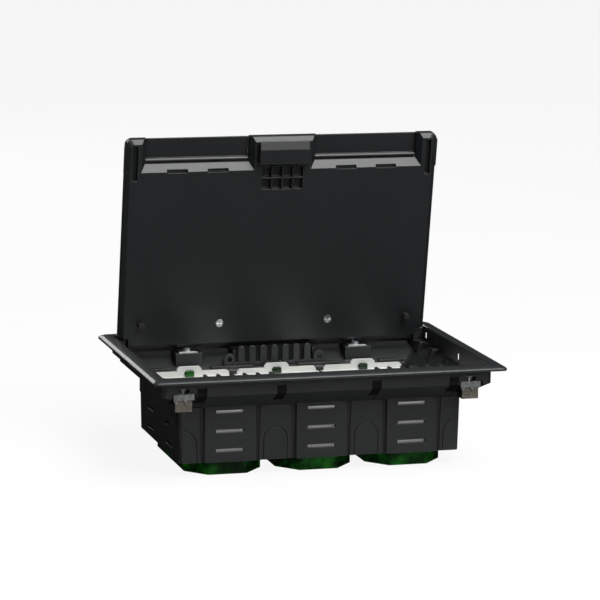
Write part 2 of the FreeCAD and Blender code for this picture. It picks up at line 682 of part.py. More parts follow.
def rear_notches():
    return both_sides(on_lid((NOTCH_X, LID_X + 5.0), (-1.0, NOTCH_S), (-1.0, LID_THICK + 1.0)))


def pin_bores():
    start = lid_point(PIN_FROM, HINGE_S, HINGE_T)
    end = lid_point(PIN_TO, HINGE_S, HINGE_T)
    return both_sides(rod(PIN_RADIUS, start, end))


def plate_pocket():
    t = span(LID_SPLIT, PLATE_THICK / 2)
    return on_lid(span(0, LID_X - PLATE_SIDE), (PLATE_FROM, PLATE_TO), t)


def lid_screw_places():
    return [(-LID_SCREW_X, LID_SCREW_S), (LID_SCREW_X, LID_SCREW_S)]


def lid_cover():
    """The lid's top moulding, which people walk on."""
    slab = stack(lid_outline(0.0, LID_SPLIT), lid_outline(0.0, LID_THICK - 0.8), lid_outline(0.8, LID_THICK))
    cuts = rear_notches() + pin_bores() + [plate_pocket()]
    outlet_s = (FLAP_PIVOT_S - FLAP_KNUCKLE - FLAP_ROOM, LID_LENGTH + 5.0)
    outlet = on_lid((OUTLET_FROM, OUTLET_TO), outlet_s, (0.0, LID_THICK + 1.0))
    cuts.extend(both_sides(outlet))
    start = lid_point(OUTLET_FROM - TRUNNION_LENGTH, FLAP_PIVOT_S, FLAP_PIVOT_T)
    end = lid_point(OUTLET_TO + TRUNNION_LENGTH, FLAP_PIVOT_S, FLAP_PIVOT_T)
    cuts.extend(both_sides(slim_rod(TRUNNION_RADIUS + PIN_GAP, start, end)))
    for x, s in lid_screw_places():
        cuts.append(slim_rod(1.5, lid_point(x, s, LID_SPLIT - 1.0), lid_point(x, s, LID_THICK - 1.2)))
    return slab.cut(join(*cuts)).removeSplitter()


def outlet_pocket():
    """One cable outlet through the lower moulding, with leaning walls."""
    low = [
        lid_point(OUTLET_FROM - OUTLET_SPLAY, OUTLET_S - OUTLET_RAMP, 0.0),
        lid_point(OUTLET_TO + OUTLET_SPLAY, OUTLET_S - OUTLET_RAMP, 0.0),
        lid_point(OUTLET_TO + OUTLET_SPLAY, LID_LENGTH + 2.0, 0.0),
        lid_point(OUTLET_FROM - OUTLET_SPLAY, LID_LENGTH + 2.0, 0.0),
    ]
    high = [
        lid_point(OUTLET_FROM, OUTLET_S, LID_SPLIT),
        lid_point(OUTLET_TO, OUTLET_S, LID_SPLIT),
        lid_point(OUTLET_TO, LID_LENGTH + 2.0, LID_SPLIT),
        lid_point(OUTLET_FROM, LID_LENGTH + 2.0, LID_SPLIT),
    ]
    return Part.makeLoft([Part.makePolygon(low + low[:1]), Part.makePolygon(high + high[:1])], True, True)


def grid_cells():
    """The ribbed field beside the latch: two rows of four cells."""
    pitch = GRID_PITCH
    wall = GRID_WALL
    cells = []
    for row in range(2):
        for column in range(4):
            x = (column - 1.5) * pitch
            s = LATCH_FROM - GRID_GAP - (row + 0.5) * GRID_LONG - row * wall
            cells.append(on_lid(span(x, (pitch - wall) / 2), span(s, GRID_LONG / 2), (-1.0, GRID_DEEP)))
    return cells


def latch_slot():
    """The stepped slot in the lower moulding that the latch slide runs in."""
    s = (LATCH_FROM - LATCH_TRAVEL + 2.0, LATCH_TO - 2.0)
    neck = on_lid(span(0, LATCH_NECK + LATCH_RUN), s, (-1.0, 2.3))
    foot = on_lid(span(0, LATCH_FOOT + LATCH_RUN), s, (2.0, LID_SPLIT - 1.0))
    return join(neck, foot)


def lid_underside():
    """The lid's lower moulding, seen when the lid stands open."""
    slab = stack(
        lid_outline(LID_CHAMFER, 0.0),
        lid_outline(0.0, LID_CHAMFER_HEIGHT),
        lid_outline(0.0, LID_SPLIT),
    )
    cuts = rear_notches() + pin_bores() + [plate_pocket()]
    cuts.extend(both_sides(outlet_pocket()))
    cuts.extend(grid_cells())
    cuts.append(latch_slot())
    for x, s in lid_screw_places():
        cuts.append(slim_rod(2.0, lid_point(x, s, -1.0), lid_point(x, s, LID_SPLIT + 1.0)))
        cuts.append(slim_rod(3.7, lid_point(x, s, -1.0), lid_point(x, s, 2.0)))
    groove = (LID_LENGTH - TONGUE_LONG - 6.0, LID_LENGTH - TONGUE_GAP + 0.5)
    cuts.extend(both_sides(on_lid(span(LID_X - TONGUE_WIDE, 2.15), groove, (-1.0, 3.0))))
    edge = OUTLET_S - OUTLET_RAMP
    for centre in (-LIP_SLOT_APART / 2, LIP_SLOT_APART / 2):
        x = span((OUTLET_FROM + OUTLET_TO) / 2 + centre, LIP_SLOT_WIDTH / 2)
        cuts.extend(both_sides(on_lid(x, (edge - 0.8, edge + 1.6), (-1.0, 3.4))))
    slab = slab.cut(join(*cuts))
    bump_s = (LID_LENGTH - TONGUE_LONG, LID_LENGTH - TONGUE_GAP)
    bump = on_lid((LID_X - 1.0, LID_X + TONGUE_PROUD), bump_s, (LID_CHAMFER_HEIGHT + 0.3, LID_SPLIT))
    return join(slab, *both_sides(bump))


def lid_plate():
    """The steel stiffener held between the two lid mouldings."""
    plate = plate_pocket()
    for x, s in lid_screw_places():
        plate = plate.cut(slim_rod(2.0, lid_point(x, s, 0.0), lid_point(x, s, LID_THICK)))
    return plate


def lid_screws():
    screws = []
    for x, s in lid_screw_places():
        head = slim_rod(3.2, lid_point(x, s, 0.2), lid_point(x, s, 2.0))
        shank = slim_rod(1.5, lid_point(x, s, 1.5), lid_point(x, s, LID_THICK - 1.2))
        slot = on_lid(span(x, 2.2), span(s, 0.4), (-0.5, 1.0))
        cross = on_lid(span(x, 0.4), span(s, 2.2), (-0.5, 1.0))
        screws.append(join(head, shank).cut(join(slot, cross)))
    return Part.makeCompound(screws)


def lid_bumpers():
    pegs = []
    for x in (BUMPER_SIDE - LID_X, LID_X - BUMPER_SIDE):
        foot = lid_point(x, BUMPER_S, 0.0)
        tip = lid_point(x, BUMPER_S, -BUMPER_HEIGHT)
        pegs.append(slim_rod(BUMPER_RADIUS, foot, tip))
    return Part.makeCompound(pegs)


def hinge_pins():
    return Part.makeCompound(pin_bores())


def latch_slider():
    """The sprung slide that hooks under the catch of the housing."""
    top = LATCH_TO - LATCH_BEVEL
    grip = lid_bar(
        [
            (LATCH_FROM, 0.0),
            (LATCH_FROM, -LATCH_HEIGHT + 1.0),
            (LATCH_FROM + 1.0, -LATCH_HEIGHT),
            (top, -LATCH_HEIGHT),
            (LATCH_TO, -LATCH_NOSE_GAP - 0.8),
            (LATCH_TO, -LATCH_NOSE_GAP),
            (LATCH_TO - LATCH_NOSE, -LATCH_NOSE_GAP),
            (LATCH_TO - LATCH_NOSE, 0.0),
        ],
        span(0, LATCH_X),
    )
    run = (LATCH_FROM + 2.3, LATCH_TO - 3.0)
    neck = on_lid(span(0, LATCH_NECK), run, (-0.5, 2.6))
    foot = on_lid(span(0, LATCH_FOOT), run, (2.3, LID_SPLIT - 1.3))
    return join(grip, neck, foot)


def cable_flap(side):
    """A hinged flap over one cable outlet."""
    x = (OUTLET_FROM + FLAP_GAP, OUTLET_TO - FLAP_GAP)
    leaf = on_lid(x, (FLAP_PIVOT_S, FLAP_END), (LID_THICK - FLAP_THICK, LID_THICK))
    knuckle = rod(
        FLAP_KNUCKLE,
        lid_point(x[0], FLAP_PIVOT_S, FLAP_PIVOT_T),
        lid_point(x[1], FLAP_PIVOT_S, FLAP_PIVOT_T),
    )
    trunnion = slim_rod(
        TRUNNION_RADIUS,
        lid_point(OUTLET_FROM - TRUNNION_LENGTH + 0.3, FLAP_PIVOT_S, FLAP_PIVOT_T),
        lid_point(OUTLET_TO + TRUNNION_LENGTH - 0.3, FLAP_PIVOT_S, FLAP_PIVOT_T),
    )
    flap = join(leaf, knuckle, trunnion)
    for number in range(FLAP_GROOVES):
        s = FLAP_PIVOT_S + 4.5 + number * 2.6
        groove = on_lid((x[0] + 6.0, x[1] - 6.0), span(s, 0.45), (LID_THICK - 0.5, LID_THICK + 1.0))
        flap = flap.cut(groove)
    return flap if side > 0 else flap.mirror(V(0, 0, 0), V(1, 0, 0))


# ---- Cradles and back boxes ------------------------------------------------

def cradle_leg(end):
    """A toothed leg that runs down one guide channel and carries the locking tab."""
    outer = TROUGH_Y + PANEL_PROUD - LOWER_WALL - CHANNEL_GAP
    inner = outer - LEG_THICK
    low = CRADLE_UNDER - LEG_DROP
    depth = 0.6
    points = [(inner, CRADLE_TOP), (inner, low), (outer - depth, low)]
    count = int((CRADLE_UNDER - 2.0 - low) / TOOTH_PITCH)
    for number in range(count):
        foot = low + number * TOOTH_PITCH
        points.append((outer - depth, foot + 0.2 * TOOTH_PITCH))
        points.append((outer, foot + 0.45 * TOOTH_PITCH))
        points.append((outer, foot + 0.85 * TOOTH_PITCH))
        points.append((outer - depth, foot + TOOTH_PITCH))
    points.append((outer, CRADLE_UNDER - 1.0))
    points.append((outer, CRADLE_TOP))
    leg = bar("x", points, span(0, SLOT_WIDTH / 2 - 0.4))
    return leg if end > 0 else leg.mirror(V(0, 0, 0), V(0, 1, 0))


def cradle():
    """The frame that holds two modules of one column."""
    plate = block(span(0, CRADLE_X), span(0, CRADLE_Y), (CRADLE_UNDER, CRADLE_TOP))
    aperture = block(span(0, APERTURE_X), span(0, APERTURE_Y), (CRADLE_UNDER - 9.0, CRADLE_TOP + 9.0))
    collar = block(span(0, APERTURE_X + 1.4), span(0, APERTURE_Y + 1.4), (CRADLE_UNDER - 3.0, CRADLE_UNDER))
    bridge = block(span(0, SLOT_WIDTH / 2 - 0.4), span(0, TROUGH_Y - 1.0), (CRADLE_UNDER, CRADLE_TOP))
    y = (CRADLE_Y - UPSTAND_THICK, CRADLE_Y)
    upstand = bar("y", eased_outline(UPSTAND_X, CRADLE_TOP, UPSTAND_TOP, UPSTAND_EASE), y)
    lip = bar("y", eased_outline(LIP_X, CRADLE_TOP, LIP_TOP, UPSTAND_EASE), y)
    ends = both_ends(upstand) + both_ends(lip)
    solid = join(plate, collar, bridge, cradle_leg(1), cradle_leg(-1), *ends)
    ease = WINDOW_EASE
    window = bar(
        "y",
        [
            (-WINDOW_X, WINDOW_Z - WINDOW_R + ease), (-WINDOW_X + ease, WINDOW_Z - WINDOW_R),
            (WINDOW_X - ease, WINDOW_Z - WINDOW_R), (WINDOW_X, WINDOW_Z - WINDOW_R + ease),
            (WINDOW_X, WINDOW_Z + WINDOW_R - ease), (WINDOW_X - ease, WINDOW_Z + WINDOW_R),
            (-WINDOW_X + ease, WINDOW_Z + WINDOW_R), (-WINDOW_X, WINDOW_Z + WINDOW_R - ease),
        ],
        (CRADLE_Y - UPSTAND_THICK - 1.0, CRADLE_Y + 10.0),
    )
    arm_hole = block(
        span(0, HOOK_X + HOOK_GAP),
        (BOX_Y - BOX_WALL - HOOK_GAP, CRADLE_Y - UPSTAND_THICK),
        (CRADLE_UNDER - 1.0, CRADLE_TOP + 1.0),
    )
    cuts = [aperture]
    for piece in (window, arm_hole):
        cuts.extend(both_ends(piece))
    return solid.cut(join(*cuts)).removeSplitter()


def eased_outline(half, low, top, ease):
    """An upright outline with bevelled upper corners."""
    feet = [(-half, low), (half, low)]
    return feet + [(half, top - ease), (half - ease, top), (ease - half, top), (-half, top - ease)]


def back_box_solid(half_x, half_y, z):
    """The eight-sided form of a back box."""
    cut_x = half_x - BOX_CORNER_X
    cut_y = half_y - BOX_CORNER_Y
    points = [
        (half_x, -cut_y), (half_x, cut_y), (cut_x, half_y), (-cut_x, half_y),
        (-half_x, cut_y), (-half_x, -cut_y), (-cut_x, -half_y), (cut_x, -half_y),
    ]
    return bar("z", points, z)


def back_box():
    """The translucent tub that closes a column from below, hooked onto its cradle."""
    outer = back_box_solid(BOX_X, BOX_Y, (-DEPTH, CRADLE_UNDER))
    inner = back_box_solid(BOX_X - BOX_WALL, BOX_Y - BOX_WALL, (-DEPTH + BOX_WALL, CRADLE_UNDER + 1.0))
    tub = outer.cut(inner)
    hook_y = CRADLE_Y - UPSTAND_THICK - HOOK_GAP
    arm = block(span(0, HOOK_X), (BOX_Y - BOX_WALL, hook_y), (CRADLE_UNDER - 4.0, WINDOW_Z + 1.9))
    nose = block(span(0, HOOK_X), (hook_y - 0.5, CRADLE_Y - 0.4), (WINDOW_Z - 1.4, WINDOW_Z + 1.1))
    collar_room = block(span(0, APERTURE_X + 1.7), span(0, APERTURE_Y + 1.7), (CRADLE_UNDER - 3.2, 0.0))
    tub = join(tub, *(both_ends(arm) + both_ends(nose)))
    return tub.cut(collar_room)


# ---- Claws and their screws ------------------------------------------------

def claw_sheet():
    """The bent steel claw, with its screw axis on Z and its spikes towards -Y."""
    front = -CLAW_DEPTH / 2
    top = block(span(0, CLAW_WIDTH / 2), (front, CLAW_DEPTH / 2), (CLAW_TOP - CLAW_SHEET, CLAW_TOP))
    points = [(-CLAW_WIDTH / 2, CLAW_TOP), (-CLAW_WIDTH / 2, CLAW_TOP - CLAW_FLANGE)]
    for centre in CLAW_SPIKES:
        points.append((centre - 1.6, CLAW_TOP - CLAW_FLANGE))
        points.append((centre, CLAW_TOP - CLAW_FLANGE - CLAW_SPIKE))
        points.append((centre + 1.6, CLAW_TOP - CLAW_FLANGE))
    points.append((CLAW_WIDTH / 2, CLAW_TOP - CLAW_FLANGE))
    points.append((CLAW_WIDTH / 2, CLAW_TOP))
    flange = bar("y", points, (front, front + CLAW_SHEET))
    hole = slim_rod(SCREW_RADIUS + SCREW_GAP, V(0, 0, CLAW_TOP - 5.0), V(0, 0, CLAW_TOP + 1.0))
    return join(top, flange).cut(hole)


def claw_block():
    """The threaded block that carries the claw along its screw."""
    front = -CLAW_DEPTH / 2 + CLAW_SHEET
    body = block(span(0, 6.5), (front, CLAW_DEPTH / 2), (CLAW_BLOCK_LOW, CLAW_TOP - CLAW_SHEET))
    thread = slim_rod(SCREW_RADIUS + PIN_GAP, V(0, 0, CLAW_BLOCK_LOW - 1.0), V(0, 0, CLAW_TOP))
    return body.cut(thread)


def claw_screw(head_bottom):
    """A pan-head screw that turns in the housing and moves the claw."""
    head = slim_rod(SCREW_HEAD, V(0, 0, head_bottom), V(0, 0, head_bottom + SCREW_HEAD_HEIGHT))
    shank = slim_rod(SCREW_RADIUS, V(0, 0, SCREW_LOW), V(0, 0, head_bottom + 0.5))
    top = head_bottom + SCREW_HEAD_HEIGHT
    slot = block(span(0, 2.4), span(0, 0.45), (top - 1.1, top + 1.0))
    cross = block(span(0, 0.45), span(0, 2.4), (top - 1.1, top + 1.0))
    return join(head, shank).cut(join(slot, cross))


def tower_plate():
    """A steel bearing plate on a rear tower, under the screw's head."""
    plate = block(span(0, 7.5), (-7.0, 6.5), (TOWER_TOP, TOWER_TOP + TOWER_PLATE))
    return plate.cut(slim_rod(SCREW_RADIUS + SCREW_GAP, V(0, 0, TOWER_TOP - 1.0), V(0, 0, TOWER_TOP + 2.0)))


# ---- Put together ----------------------------------------------------------

def opened(shape):
    """A piece of the closed lid, swung to the stored open position."""
    turned = shape.copy()
    turned.rotate(V(0, HINGE_Y, HINGE_Z), V(-1, 0, 0), REST_ANGLE)
    return turned


def pieces():
    """Every piece by name, in place."""
    trough_body = housing()
    made = {
        "rim_frame": rim_frame(),
        "housing": trough_body,
        "rear_comb": rear_comb(trough_body),
        "lid_cover": opened(lid_cover()),
        "lid_underside": opened(lid_underside()),
        "lid_plate": opened(lid_plate()),
        "lid_screws": opened(lid_screws()),
        "lid_bumpers": opened(lid_bumpers()),
        "latch_slider": opened(latch_slider()),
        "hinge_pins": opened(hinge_pins()),
    }
    for name, side in SIDES:
        made["cable_flap_" + name] = opened(cable_flap(side))
    for name, column in COLUMNS:
        made["cradle_" + name] = cradle().translated(V(column, 0, 0))
        made["back_box_" + name] = back_box().translated(V(column, 0, 0))
    front_head = POCKET_ROOF - SCREW_HEAD_HEIGHT
    rear_head = TOWER_TOP + TOWER_PLATE
    plates = []
    for name, side in SIDES:
        front = V(side * CLAW_FRONT_X, CLAW_FRONT_Y, 0)
        rear = V(side * CLAW_REAR_X, CLAW_REAR_Y, 0)
        under_tower = rear + V(0, 0, TOWER_TOP - POCKET_WALL - CLAW_ROOF_GAP - CLAW_TOP)
        made["claw_front_" + name] = claw_sheet().translated(front)
        made["claw_block_front_" + name] = claw_block().translated(front)
        made["claw_screw_front_" + name] = claw_screw(front_head).translated(front)
        made["claw_rear_" + name] = turned_round(claw_sheet()).translated(under_tower)
        made["claw_block_rear_" + name] = turned_round(claw_block()).translated(under_tower)
        made["claw_screw_rear_" + name] = claw_screw(rear_head).translated(rear)
        plates.append(tower_plate().translated(rear))
    made["tower_plates"] = Part.makeCompound(plates)
    return made


def turned_round(shape):
    """A piece turned half a turn about its screw."""
    turned = shape.copy()
    turned.rotate(V(0, 0, 0), V(0, 0, 1), 180)
    return turned


def main():
    os.makedirs("parts", exist_ok=True)
    for name, shape in pieces().items():
        lifted = shape.copy()
        lifted.translate(V(0, 0, DEPTH))
        lifted.exportStep("parts/" + name + ".step")
        print(name, len(lifted.Solids), "solids", round(lifted.Volume / 1000.0, 2), "cm3")


main()
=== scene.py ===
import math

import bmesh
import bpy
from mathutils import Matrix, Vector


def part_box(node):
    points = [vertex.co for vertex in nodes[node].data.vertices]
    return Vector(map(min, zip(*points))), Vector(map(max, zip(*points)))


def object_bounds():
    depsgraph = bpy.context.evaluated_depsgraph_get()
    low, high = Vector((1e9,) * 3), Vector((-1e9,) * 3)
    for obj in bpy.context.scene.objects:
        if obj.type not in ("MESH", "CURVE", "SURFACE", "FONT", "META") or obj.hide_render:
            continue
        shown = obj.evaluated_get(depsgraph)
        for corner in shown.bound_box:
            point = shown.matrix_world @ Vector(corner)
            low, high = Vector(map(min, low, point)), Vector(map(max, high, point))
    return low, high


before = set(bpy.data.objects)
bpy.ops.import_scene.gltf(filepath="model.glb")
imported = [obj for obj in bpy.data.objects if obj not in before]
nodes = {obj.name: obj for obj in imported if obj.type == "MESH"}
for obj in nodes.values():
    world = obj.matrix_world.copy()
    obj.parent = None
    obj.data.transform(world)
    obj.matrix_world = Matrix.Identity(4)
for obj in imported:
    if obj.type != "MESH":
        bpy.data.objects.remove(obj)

# %% [markdown]
# # A floor socket box
# This box sits in a raised floor. A black plastic trough hangs under a thin rim, a lid stands
# open on its hinge, white cradles wait for socket modules, and green see-through boxes close
# them from below. The construction comes in as a frame of solids that are already the right
# size and in the right place, so no form is added here. This lesson gives the solids their
# finishes and lights them. First it keeps their overall box, which places the floor and aims the lamps.

MM = 0.001
solid_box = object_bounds()
print("solids span", [round((b - a) / MM, 1) for a, b in zip(*solid_box)], "mm")

# %% [markdown]
# ## Colours and nodes
# Colours are easier to read as the hex values of a paint chart, but a shader works in linear
# light, so one function turns one into the other. A second small function adds a node, sets its
# values and plugs in its inputs, which keeps each finish to a few readable lines. Blender's Mix
# node has three sockets of each name, one for each kind of value, so its colour sockets are
# named here by their numbers.

# %% Colour and node helpers
MIX_A, MIX_B, MIX_COLOUR = 6, 7, 2


def linear(code):
    """An sRGB hex value as the linear colour that a shader wants."""
    parts = [int(code[i:i + 2], 16) / 255 for i in (0, 2, 4)]
    return tuple(c / 12.92 if c <= 0.04045 else ((c + 0.055) / 1.055) ** 2.4 for c in parts) + (1.0,)


def add(tree, kind, links=None, values=None, **settings):
    """Adds a node. Settings are its attributes; values and links go to its sockets."""
    node = tree.nodes.new(kind)
    for name, value in settings.items():
        setattr(node, name, value)
    for socket, value in (values or {}).items():
        node.inputs[socket].default_value = value
    for socket, source in (links or {}).items():
        tree.links.new(source, node.inputs[socket])
    return node


def blank_finish(name):
    """A new material with an empty tree, and its output node."""
    finish = bpy.data.materials.new(name)
    finish.use_nodes = True
    finish.node_tree.nodes.clear()
    return finish, finish.node_tree, finish.node_tree.nodes.new("ShaderNodeOutputMaterial")


def scale_for(size_mm):
    """The Scale of a pattern whose features are this wide, in mm."""
    return 1.0 / (size_mm * MM)


def drift(tree, source, levels, codes):
    """A colour that follows a value: it reaches each hex value at the level that goes with it."""
    colour = None
    for k in range(len(codes) - 1):
        span = {"From Min": levels[k], "From Max": levels[k + 1]}
        share = add(tree, "ShaderNodeMapRange", {"Value": source}, span)
        ends = {MIX_A: linear(codes[k]), MIX_B: linear(codes[k + 1])}
        mixed = add(tree, "ShaderNodeMix", {0: share.outputs["Result"]}, ends, data_type="RGBA")
        if colour:
            tree.links.new(colour, mixed.inputs[MIX_A])
        colour = mixed.outputs[MIX_COLOUR]
    return colour


print("a mid grey, 808080, is", round(linear("808080")[0], 3), "in linear light")

# %% [markdown]
# ## Black moulded plastic
# The trough, the rim and the lid are glass-filled polyamide and polycarbonate, moulded in tools
# with a spark-eroded grain. The grain is about 0.35 mm across. It breaks a reflection up into a
# soft sheen, so flat faces read as a dark grey and not as a hole. On the edges, where the tool is
# polished and hands rub, it is lighter: partly wear, partly a painted highlight. In the creases,
# where little light gets in, shade is painted darker into the colour. An image of grain would need
# UVs on every solid, so noise in object space is used: it has the real scale everywhere.

# %% Grained black plastics
CLOUD_MM = 45.5         # width of the slow drifts of tone
EDGE_RADIUS = 0.7       # of a moulded edge, in mm
EDGE_FROM = 0.985       # how far the rounded edge's normal turns from the face's: where wear and painted highlight start
EDGE_FULL = 0.85        # and where it is full
CREASE_REACH = 6.0      # how far a crease's shade reaches, in mm
CREASE_FROM = 0.95      # the share of open sky where a crease starts
CREASE_FULL = 0.45      # and where it is full
ROUGH_SWING = 0.07      # how much the grain changes the roughness, up and down


def grained_plastic(name, tones, rough, edge, wear_and_highlight, crease_shade, grain_mm=0.35, grain_depth=0.25):
    """A moulded plastic with a spark-eroded grain, edges lighter from wear and a painted highlight, and
    painted shade in the creases.
    """
    finish, tree, out = blank_finish(name)
    place = add(tree, "ShaderNodeTexCoord").outputs["Object"]
    cloud = add(tree, "ShaderNodeTexNoise", {"Vector": place}, {"Scale": scale_for(CLOUD_MM), "Detail": 3.0})
    tone = drift(tree, cloud.outputs["Fac"], (0.32, 0.72), tones)
    fine = {"Scale": scale_for(grain_mm), "Detail": 2.0}
    grain = add(tree, "ShaderNodeTexNoise", {"Vector": place}, fine).outputs["Fac"]

    rounded = add(tree, "ShaderNodeBevel", values={"Radius": EDGE_RADIUS * MM}, samples=4).outputs["Normal"]
    flat = add(tree, "ShaderNodeNewGeometry").outputs["Normal"]
    # wear and painted highlight: where the rounded normal turns from the face's, the lighter edge colour is
    # mixed in
    turn = add(tree, "ShaderNodeVectorMath", {0: rounded, 1: flat}, operation="DOT_PRODUCT")
    wear_and_highlight_span = {"From Min": EDGE_FROM, "From Max": EDGE_FULL, "To Max": wear_and_highlight}
    rub_and_highlight = add(tree, "ShaderNodeMapRange", {"Value": turn.outputs["Value"]}, wear_and_highlight_span).outputs["Result"]
    rubbed_and_highlit = add(tree, "ShaderNodeMix", {0: rub_and_highlight, MIX_A: tone}, {MIX_B: linear(edge)}, data_type="RGBA")

    # painted shade: where little open sky is found around a point, its colour goes towards 040505
    sky = add(tree, "ShaderNodeAmbientOcclusion", values={"Distance": CREASE_REACH * MM}, samples=6)
    painted_shade = {"From Min": CREASE_FROM, "From Max": CREASE_FULL, "To Max": crease_shade}
    painted_crease_shade = add(tree, "ShaderNodeMapRange", {"Value": sky.outputs["AO"]}, painted_shade).outputs["Result"]
    base_links = {0: painted_crease_shade, MIX_A: rubbed_and_highlit.outputs[MIX_COLOUR]}
    base = add(tree, "ShaderNodeMix", base_links, {MIX_B: linear("040505")}, data_type="RGBA")

    swing = {"To Min": rough - ROUGH_SWING, "To Max": rough + ROUGH_SWING}
    roughness = add(tree, "ShaderNodeMapRange", {"Value": grain}, swing)
    relief = {"Strength": grain_depth, "Distance": 0.05 * MM}
    bump = add(tree, "ShaderNodeBump", {"Height": grain, "Normal": rounded}, relief)
    shader_links = {
        "Base Color": base.outputs[MIX_COLOUR],
        "Roughness": roughness.outputs["Result"],
        "Normal": bump.outputs["Normal"],
    }
    shader = add(tree, "ShaderNodeBsdfPrincipled", shader_links, {"IOR": 1.5})
    tree.links.new(shader.outputs["BSDF"], out.inputs["Surface"])
    return finish


# polyamide from a well-polished tool: the rim is handled most, so its edges are lighter, from wear and a
# painted highlight
rim_plastic = grained_plastic(
    "Rim_black_polyamide_grained", ("222426", "272A2B"), rough=0.34, edge="5A5D5F", wear_and_highlight=0.7, crease_shade=0.8
)
# glass fibre dulls the skin of the trough, and painted shade turns its scored grooves black
trough_plastic = grained_plastic(
    "Trough_black_polyamide_glass_filled", ("242626", "292B2B"), rough=0.40, edge="565858", wear_and_highlight=0.6,
    crease_shade=1.0,
)
# polycarbonate is a bluer, deeper black, with an even sheen over the wide lid
lid_plastic = grained_plastic(
    "Lid_black_polycarbonate_grained", ("1A1D1F", "1C1F21"), rough=0.38, edge="484B4D", wear_and_highlight=0.5, crease_shade=0.8
)
# the small flaps and the latch are moulded smoother than the lid
flap_plastic = grained_plastic(
    "Flap_black_polycarbonate", ("1A1C1E", "1E2022"), rough=0.36, edge="505355", wear_and_highlight=0.6, crease_shade=0.8
)
# unfilled polyamide: as dark as the trough, with softer highlights on its teeth
comb_plastic = grained_plastic(
    "Comb_black_polyamide", ("222426", "272A2B"), rough=0.42, edge="505355", wear_and_highlight=0.6, crease_shade=1.0
)
# rubber has hardly any gloss, and a coarser skin
rubber = grained_plastic(
    "Bumper_black_rubber_moulded", ("151515", "1D1D1D"), rough=0.7, edge="3A3C3E", wear_and_highlight=0.35, crease_shade=0.0,
    grain_mm=0.5, grain_depth=0.3,
)
black_plastics = (rim_plastic, trough_plastic, lid_plastic, flap_plastic, comb_plastic, rubber)
print("black plastics:", [finish.name for finish in black_plastics])

# %% [markdown]
# ## The notches in the trough's front
# Four upright notches run down the front of the trough, under the rim. On the real box they
# are deep enough to lie in black shade, while their solids are shallow. The notch floors could get
# dark plates of their own, but those would be pieces that the box doesn't have. So the shade is
# painted into the trough's finish: black and dull inside the four notches, by their place in millimetres.

# %% Painted shade on the notch floors
NOTCH_PLACES = (37.2, 98.5)     # from the middle, to each side
NOTCH_HALF = 3.7                # half the width of a notch
NOTCH_LOW = 56.0
NOTCH_HIGH = 72.5
NOTCH_FACE = -76.0              # everything further forward is front wall
NOTCH_EDGE = 0.2                # over which the shade comes in


def shade_notches(finish):
    """Paints shade into the floors of the notches: black and dull."""
    tree = finish.node_tree
    shader = next(node for node in tree.nodes if node.type == "BSDF_PRINCIPLED")
    colour = shader.inputs["Base Color"].links[0].from_socket
    roughness = shader.inputs["Roughness"].links[0].from_socket
    place = add(tree, "ShaderNodeTexCoord").outputs["Object"]
    axes = add(tree, "ShaderNodeSeparateXYZ", {"Vector": place}).outputs
    aside = add(tree, "ShaderNodeMath", {0: axes["X"]}, operation="ABSOLUTE").outputs["Value"]
    near = [
        add(tree, "ShaderNodeMath", {0: aside}, {1: middle * MM, 2: NOTCH_HALF * MM}, operation="COMPARE")
        for middle in NOTCH_PLACES
    ]
    both = {k: test.outputs["Value"] for k, test in enumerate(near)}
    share = add(tree, "ShaderNodeMath", both, operation="ADD").outputs["Value"]
    limits = (
        (axes["Z"], NOTCH_LOW, NOTCH_LOW + NOTCH_EDGE),
        (axes["Z"], NOTCH_HIGH, NOTCH_HIGH - NOTCH_EDGE),
        (axes["Y"], NOTCH_FACE, NOTCH_FACE - NOTCH_EDGE),
    )
    for axis, start, full in limits:
        span = {"From Min": start * MM, "From Max": full * MM}
        inside = add(tree, "ShaderNodeMapRange", {"Value": axis}, span)
        product = {0: share, 1: inside.outputs["Result"]}
        share = add(tree, "ShaderNodeMath", product, operation="MULTIPLY").outputs["Value"]
    # painted shade: inside the notches the colour goes to 020202
    dark_links = {0: share, MIX_A: colour}
    painted_notch_shade = add(tree, "ShaderNodeMix", dark_links, {MIX_B: linear("020202")}, data_type="RGBA")
    tree.links.new(painted_notch_shade.outputs[MIX_COLOUR], shader.inputs["Base Color"])
    dull = add(tree, "ShaderNodeMapRange", {"Value": share, "To Min": roughness}, {"To Max": 0.95})
    tree.links.new(dull.outputs["Result"], shader.inputs["Roughness"])


shade_notches(trough_plastic)
print("notches shaded at", [side * place for place in NOTCH_PLACES for side in (-1, 1)], "mm")

# %% [markdown]
# ## White moulded plastic
# The cradles are white ABS straight from the tool: smoother than the black parts, with a
# soft gloss and a trace of yellow. Light goes a little way into it, so a small amount of
# subsurface scattering keeps the shadows in its openings from looking like stone. The feet of
# its legs have fine upright ribs, which show through the slots of the trough. Their shading is
# painted into the finish as grey stripes, and the slots above them show plain white.

# %% White ABS
RIB_PITCH = 2.6     # from rib to rib, in mm
LEG_FACE = 66.0     # the legs are further from the middle than this
RIB_TOP = 43.0      # the ribs end at this height


